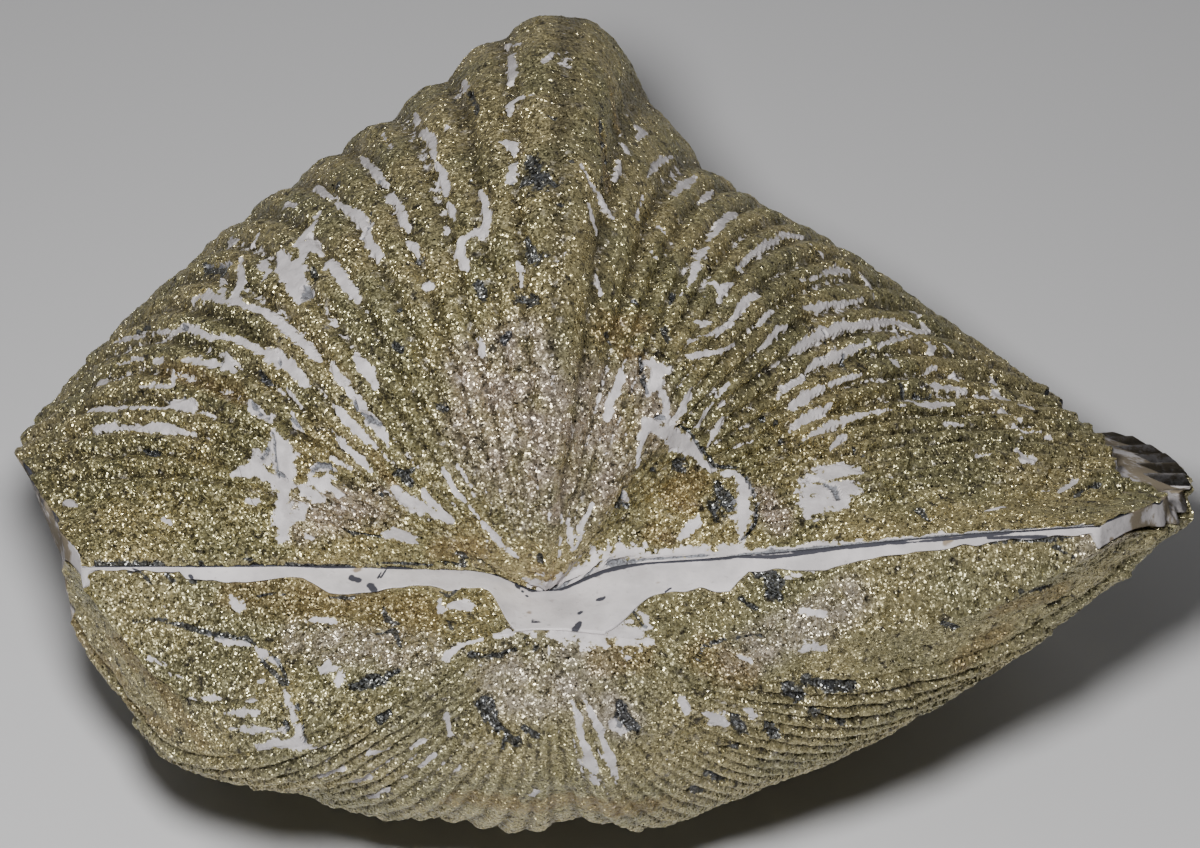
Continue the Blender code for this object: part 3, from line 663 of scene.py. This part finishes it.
# colours of the dark marks: dark pits and painted shade
DARK_PITS_AND_SHADE = ((0.015, 0.016, 0.020), (0.16, 0.17, 0.19))
SHALE_COLOURS = ((0.40, 0.375, 0.375), (0.56, 0.525, 0.525))
SHALE_GRAIN, SHALE_SPECK = (0.22, 0.20, 0.19), (0.16, 0.11, 0.05)
# dark and brown of the fill: each partly painted shade
SHALE_DARK_AND_SHADE, SHALE_STAIN_AND_SHADE = (0.04, 0.04, 0.05), (0.20, 0.165, 0.115)


class Tree:
    """Builds a material's nodes."""

    def __init__(self, name):
        self.material = bpy.data.materials.new(name)
        self.material.use_nodes = True
        self.nodes = self.material.node_tree.nodes
        self.links = self.material.node_tree.links
        self.shader = self.nodes["Principled BSDF"]
        self.where = self.add("ShaderNodeTexCoord").outputs["Object"]

    def add(self, kind, inputs=(), **values):
        """A new node, with its properties and its inputs set."""
        node = self.nodes.new(kind)
        for key, value in values.items():
            setattr(node, key, value)
        for key, value in inputs:
            self.feed(node.inputs[key], value)
        return node

    def feed(self, socket, value):
        if hasattr(value, "is_linked"):
            self.links.new(value, socket)
        else:
            socket.default_value = value

    def finish(self, **values):
        """Inputs of the shader, by name with _ for each space."""
        for key, value in values.items():
            self.feed(self.shader.inputs[key.replace("_", " ")], value)

    def math(self, operation, a, b):
        return self.add("ShaderNodeMath", ((0, a), (1, b)), operation=operation).outputs[0]

    def times(self, a, b):
        return self.math("MULTIPLY", a, b)

    def plus(self, a, b):
        return self.math("ADD", a, b)

    def swing(self, value, share, middle=0.5):
        """How far a value is from its middle, times a share."""
        return self.times(self.math("SUBTRACT", value, middle), share)

    def mix(self, factor, a, b, blend="MIX"):
        a, b = (c if hasattr(c, "is_linked") else (*c, 1.0) for c in (a, b))
        inputs = (("Factor", factor), (6, a), (7, b))
        return self.add("ShaderNodeMix", inputs, data_type="RGBA", blend_type=blend).outputs[2]

    def blend(self, factor, a, b):
        inputs = (("Factor", factor), (2, a), (3, b))
        return self.add("ShaderNodeMix", inputs, data_type="FLOAT").outputs[0]

    def step(self, value, low, high):
        inputs = (("Value", value), ("From Min", low), ("From Max", high))
        return self.add("ShaderNodeMapRange", inputs, interpolation_type="SMOOTHSTEP").outputs[0]

    def field(self, name):
        return self.add("ShaderNodeAttribute", attribute_name=name).outputs["Fac"]

    def noise(self, size, detail, rough=0.5):
        inputs = (("Vector", self.where), ("Scale", 1 / size), ("Detail", detail),
                  ("Roughness", rough))
        return self.add("ShaderNodeTexNoise", inputs).outputs["Fac"]

    def cells(self, size):
        return self.add("ShaderNodeTexVoronoi", (("Vector", self.where), ("Scale", 1 / size)))

    def vector(self, operation, a, b=None, scale=None):
        inputs = [pair for pair in ((0, a), (1, b), ("Scale", scale)) if pair[1] is not None]
        return self.add("ShaderNodeVectorMath", inputs, operation=operation).outputs[0]

    def bump(self, strength, height):
        return self.add("ShaderNodeBump", (("Strength", strength), ("Distance", 0.00010),
                                           ("Height", height)))


def crust_material(name, gold, olive, pale):
    """Pyrite crust of tiny crystals, each facing its own way, with clay where the field says."""
    t = Tree(name)
    small, large = t.cells(CRYSTAL), t.cells(CLUSTER)
    pick = t.add("ShaderNodeSeparateColor", ((0, small.outputs["Color"]),))
    patchy, mottle = t.noise(0.0040, 3.0), t.noise(0.0011, 3.0)
    fine = t.noise(0.00045, 3.0, 0.65)
    # base colour: gold to olive in patches, each crystal a little lighter or darker
    colour = t.mix(t.step(patchy, 0.35, 0.65), gold, olive)
    paled = t.times(t.step(t.field("pale"), 0.05, 0.7), t.step(mottle, 0.2, 0.7))
    colour = t.mix(paled, colour, pale)
    colour = t.mix(0.9, colour, t.mix(pick.outputs[0], *CRYSTAL_SHADES), "MULTIPLY")
    # painted shade in the gaps between crystals and in the grooves, and brown tarnish
    gap_shade = t.step(t.plus(t.noise(0.00050, 4.0, 0.75), t.times(mottle, 0.25)), 0.44, 0.60)
    colour = t.mix(gap_shade, PAINTED_GAP_SHADE, colour)
    groove = t.field("groove")
    # the grooves are darkened as painted shade
    colour = t.mix(t.times(t.step(groove, 0.35, 0.95), 0.55), colour, PAINTED_GROOVE_SHADE)
    brown = t.step(t.plus(t.field("brown"), t.swing(mottle, 0.8)), 0.30, 0.75)
    colour = t.mix(t.times(brown, 0.45), colour, TARNISH)
    # clay keeps to the grooves, and silted grooves hold thin flecks of it
    ragged = t.plus(t.swing(fine, 1.7), t.swing(mottle, 0.7))
    silted = t.times(t.step(t.field("silt"), 0.1, 0.6), t.step(groove, 0.45, 0.95))
    held = t.plus(t.field("clay"), t.swing(groove, 0.30, 0.45))
    clay = t.plus(t.math("MAXIMUM", held, t.times(silted, 0.42)), ragged)
    flecks = t.times(groove, t.step(t.noise(0.00065, 4.0, 0.7), 0.54, 0.72))
    clay = t.math("MAXIMUM", t.step(clay, 0.45, 0.56), t.times(flecks, 0.55))
    stain = t.step(t.noise(0.0009, 4.0, 0.6), 0.30, 0.75)
    colour = t.mix(clay, colour, t.mix(stain, *CLAY_COLOURS))
    # dark marks: dark pits and cracks, and painted shade along the valve's edges and round the
    # crater rim
    dark = t.step(t.plus(t.field("dark"), ragged), 0.42, 0.66)
    colour = t.mix(t.times(dark, 0.88), colour, t.mix(pick.outputs[2], *DARK_PITS_AND_SHADE))
    rough = t.blend(brown, t.blend(pick.outputs[1], 0.24, 0.58), 0.45)
    middle = (0.5, 0.5, 0.5)
    lean, lean_big = (t.vector("SUBTRACT", c.outputs["Color"], middle) for c in (small, large))
    lean = t.vector("ADD", t.vector("SCALE", lean, scale=1.9),
                    t.vector("SCALE", lean_big, scale=0.9))
    lean = t.vector("SCALE", lean, scale=t.math("SUBTRACT", 1.0, clay))
    facing = t.add("ShaderNodeNewGeometry").outputs["Normal"]
    bump = t.bump(0.35, t.noise(0.00025, 3.0, 0.6))
    t.feed(bump.inputs["Normal"], t.vector("NORMALIZE", t.vector("ADD", facing, lean)))
    t.finish(Base_Color=colour, Metallic=t.blend(clay, 0.80, 0.0),
             Roughness=t.blend(clay, rough, 0.92), Normal=bump.outputs[0])
    return t.material


def shale_material(name):
    t = Tree(name)
    cloud, fine = t.noise(0.0024, 4.0, 0.6), t.noise(0.00035, 3.0, 0.6)
    ragged = t.swing(fine, 0.55)
    colour = t.mix(t.step(cloud, 0.32, 0.68), *SHALE_COLOURS)
    colour = t.mix(t.times(t.step(fine, 0.60, 0.75), 0.5), colour, SHALE_GRAIN)
    specks = t.step(t.noise(0.0012, 2.0), 0.70, 0.76)
    colour = t.mix(t.times(specks, 0.8), colour, SHALE_SPECK)
    # on the fill, dark is painted shade along the seams and dark specks, and brown is painted
    # shade at the left end and a brown patch at the right end
    for field, shade in (("dark", SHALE_DARK_AND_SHADE), ("brown", SHALE_STAIN_AND_SHADE)):
        colour = t.mix(t.step(t.plus(t.field(field), ragged), 0.42, 0.60), colour, shade)
    t.finish(Base_Color=colour, Roughness=t.blend(cloud, 0.80, 0.95), Specular_IOR_Level=0.3,
             Normal=t.bump(0.30, fine).outputs[0])
    return t.material


# ---------------------------------------------------------------- building the pieces
def crystals(sheet, calm):
    """Small move of every point, less where clay lies."""
    rng = np.random.RandomState(11)
    jitter = rng.uniform(-1, 1, sheet.base.shape) * JITTER * (1 - calm)[:, None]
    blocks = (noise(sheet.base, BLOCKS[0], 5) - 0.5) * BLOCKS[1]
    swell = (noise(sheet.base, SWELL[0], 6) - 0.5) * SWELL[1]
    moved = jitter + sheet.normal * ((blocks + swell) * (1 - calm))[:, None]
    return moved * ease(sheet.grown / 0.12)[:, None]


def edge_calm(place):
    return ease((1 - np.abs(place)) / MARGIN_CALM)


def marked(sheet, crest, strength, marks):
    """Fields for the material, how calm the surface is under them, and its change of height."""
    fields = {name: traced(sheet.base, table, sheet) for name, table in marks.items()}
    clay, dark = fields["clay"], fields["dark"]
    fields["groove"] = (1 - crest) * ease(sheet.grown / 0.12) * rib_fade(sheet.place)
    calm = ease((np.maximum(clay, dark) - 0.35) / 0.3)
    level = 0.6 * RIB_HEIGHT * strength - rib_height(strength, crest)
    sunk = ease((dark - 0.35) / 0.4) * DARK_DEPTH
    return fields, calm, ease((clay - 0.30) / 0.3) * level - sunk


def ribbed(surface, grown, place, centre, lower):
    """Ribbed surface of a valve without its crystals."""
    base = surface(grown, place)
    height = rib_relief(grown, place, base, lower)[0] * edge_calm(place)
    return base + outward(surface, grown, place, centre) * height[:, None]


def build_valve(name, surface, broken, centre, lower, marks, material):
    """Crust of one valve, with the pits of the upper one or the lumpy tip of the lower one."""
    sheet = Sheet(surface, broken, centre, lower)
    height, crest, strength = rib_relief(sheet.grown, sheet.place, sheet.base, lower)
    if lower:
        tip = window(sheet.place, 0.66, 0.76, 0.93, 0.99) * ease((sheet.grown - 0.86) / 0.10)
        height = height + TIP_LUMPS * tip * (0.6 + lumps(sheet.base, 0.0022, 4.0))
    else:
        for spot, radius, depth in PITS:
            away = np.linalg.norm(sheet.base - np.array(spot), axis=1)
            height = height - depth * ease(1.6 * (1 - away / radius))
    fields, calm, change = marked(sheet, crest, strength, marks)
    relief = (height + change) * edge_calm(sheet.place)
    points = sheet.base + sheet.normal * relief[:, None] + crystals(sheet, calm)
    points, faces, fields = sheet.closed(points, fields)
    return new_piece(name, points, faces, material, fields, False)


def build_shale(material):
    """Band of clay between the valves, along the hinge and round the margin."""
    grown = np.linspace(0.03, 0.992, HINGE_SAMPLES)
    place = np.linspace(-1, 1, MARGIN_SAMPLES)
    top, low = [], []
    for side in (-1.0, 1.0):
        under = []
        for g in grown:
            area = hinge_area(g, side)
            ridge = pedicle(np.array([g]), np.array([side]))
            under.append(area[-1] if len(area) else ridge[0])
        top.append(brachial(grown, np.full_like(grown, side)))
        low.append(np.array(under))
    gone, gone_above = pedicle_broken(place), brachial_broken(place)
    above = ribbed(brachial, 1 - gone_above, place, CENTRE, False)
    below = ribbed(pedicle, 1 - gone, place, LOWER_CENTRE, True)
    ring_top = np.vstack([top[0], above, top[1][::-1]])
    ring_low = np.vstack([low[0], below, low[1][::-1]])
    count = len(ring_top)
    front = slice(HINGE_SAMPLES, HINGE_SAMPLES + MARGIN_SAMPLES)
    lift = np.array([0, 0, TIGHT])
    rings = []
    for k in range(SHALE_STEPS + 1):
        q = k / SHALE_STEPS
        ring = ring_top - lift + (ring_low - ring_top + 2 * lift) * q
        if 0 < k < SHALE_STEPS:
            for surface, lost, part in ((pedicle, gone, q), (brachial, gone_above, 1 - q)):
                face = surface(1 - lost * part, place)
                lump = 0.0004 + 0.0003 * noise(face, 0.0016, 26)
                face = face - outward(surface, 1 - lost * part, place, CENTRE) * lump[:, None]
                broken = ease(lost / 0.06)[:, None] * ease(4 * q * (1 - q) + 0.5)
                ring[front] += broken * (face - ring[front])
            ring[:, 1] += ((noise(ring, 0.0004, 23) - 0.5) * 0.00005
                           + (noise(ring, 0.0013, 24) - 0.5) * 0.00012)
        rings.append(ring)
    points = np.vstack(rings + [CENTRE - lift, LOWER_CENTRE + lift])
    faces = []
    last = SHALE_STEPS * count
    for p in range(0, last, count):
        for a in range(count):
            b, q = (a + 1) % count, p + count
            faces += [(p + a, p + b, q + b), (p + a, q + b, q + a)]
    roof, floor = len(points) - 2, len(points) - 1
    for a in range(count):
        b = (a + 1) % count
        faces += [(roof, b, a), (floor, last + a, last + b)]
    # broken ends are darker brown, as painted shade at the left end and a brown patch at the right
    # end, and painted shade runs along the shale just under the upper valve
    shade_and_stain = (ease((PAINTED_SHADE_LEFT - points[:, 0]) / SHADE_AND_STAIN_REACH)
               + ease((points[:, 0] - STAINED_RIGHT) / SHADE_AND_STAIN_REACH))
    fields = {"dark": traced(points, FILL_DARK),
              "brown": shade_and_stain * (0.25 + 0.65 * noise(points, 0.0011, 27))}
    # painted shade along the top of the shale, in the seam just under the upper valve
    seam_shade = 1 - np.repeat(np.arange(SHALE_STEPS + 1), count) / SHALE_STEPS / 0.10
    seam_shade = seam_shade * (0.35 + noise(points[:-2], 0.0016, 25))
    fields["dark"][:-2] = np.maximum(fields["dark"][:-2], np.clip(seam_shade, 0, 1))
    return new_piece("shale_matrix", points, faces, material, fields, True)


# ---------------------------------------------------------------- camera, floor and light
def place_camera():
    """Camera at the photograph's angle, and its right, up and back directions."""
    e, a, r = radians(VIEW_HEIGHT), radians(VIEW_TURN), radians(VIEW_ROLL)
    back = np.array([sin(a) * cos(e), -cos(a) * cos(e), sin(e)])
    right = np.cross(-back, [0, 0, 1.0])
    right /= np.linalg.norm(right)
    up = np.cross(right, -back)
    right, up = right * cos(r) + up * sin(r), up * cos(r) - right * sin(r)
    x0 = (BEAK_IN_PICTURE[0] - PICTURE[0] / 2) / PIXELS_PER_METRE
    y0 = -(BEAK_IN_PICTURE[1] - PICTURE[1] / 2) / PIXELS_PER_METRE
    eye = to_world((back * VIEW_DISTANCE - right * x0 - up * y0)[None, :])[0]
    axes = to_world(np.array([right, up, back])) - to_world(np.zeros((1, 3)))
    data = bpy.data.cameras.new("view")
    data.sensor_width = SENSOR
    data.lens = PIXELS_PER_METRE * VIEW_DISTANCE / PICTURE[0] * SENSOR
    data.clip_start, data.clip_end = 0.01, 10.0
    camera = link("view", data)
    rows = [[*axes[:, i], eye[i]] for i in range(3)]
    camera.matrix_world = Matrix(rows + [[0, 0, 0, 1]])
    bpy.context.scene.camera = camera
    return axes


def area_light(name, position, aim, size, power):
    data = bpy.data.lights.new(name, "AREA")
    data.shape, data.size, data.energy = "DISK", size, power
    light = link(name, data)
    light.location = position
    turn = (Vector(aim) - Vector(position)).to_track_quat("-Z", "Y")
    light.rotation_euler = turn.to_euler()


upper = build_valve("brachial_crust", brachial, brachial_broken, CENTRE, False, UPPER_MARKS,
                    crust_material("pyrite_upper", *UPPER_CRUST))
lower = build_valve("pedicle_crust", pedicle, pedicle_broken, LOWER_CENTRE, True, LOWER_MARKS,
                    crust_material("pyrite_lower", *LOWER_CRUST))
fill = build_shale(shale_material("shale"))
for piece, node in ((upper, "brachial_valve"), (lower, "pedicle_valve"), (fill, "shale_fill")):
    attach(piece, "root")
    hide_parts(node)

axes = place_camera()
floor_mesh = bpy.data.meshes.new("floor")
floor_mesh.from_pydata([(-3, -3, 0), (3, -3, 0), (3, 3, 0), (-3, 3, 0)], [], [(0, 1, 2, 3)])
paper = Tree("paper")
paper.finish(Base_Color=(0.56, 0.555, 0.56, 1), Roughness=0.9)
floor_mesh.materials.append(paper.material)
floor = link("floor", floor_mesh)

# a key close to the camera, and two wide lights
key_at = np.array([0, 0, 0.012]) + axes[0] * -0.009 + axes[1] * 0.016 + axes[2] * 0.122
area_light("key", key_at, (0, 0, 0.012), 0.018, 0.225)
area_light("fill", (-0.15, -0.05, 0.45), (0, 0, 0.01), 0.30, 0.10)
area_light("back_fill", (0.06, 0.34, 0.22), (0, 0, 0.01), 0.34, 0.26)
world = bpy.data.worlds.new("pale")
world.use_nodes = True
background = world.node_tree.nodes["Background"].inputs
background["Color"].default_value = (0.85, 0.87, 0.90, 1)
background["Strength"].default_value = 0.06
bpy.context.scene.world = world
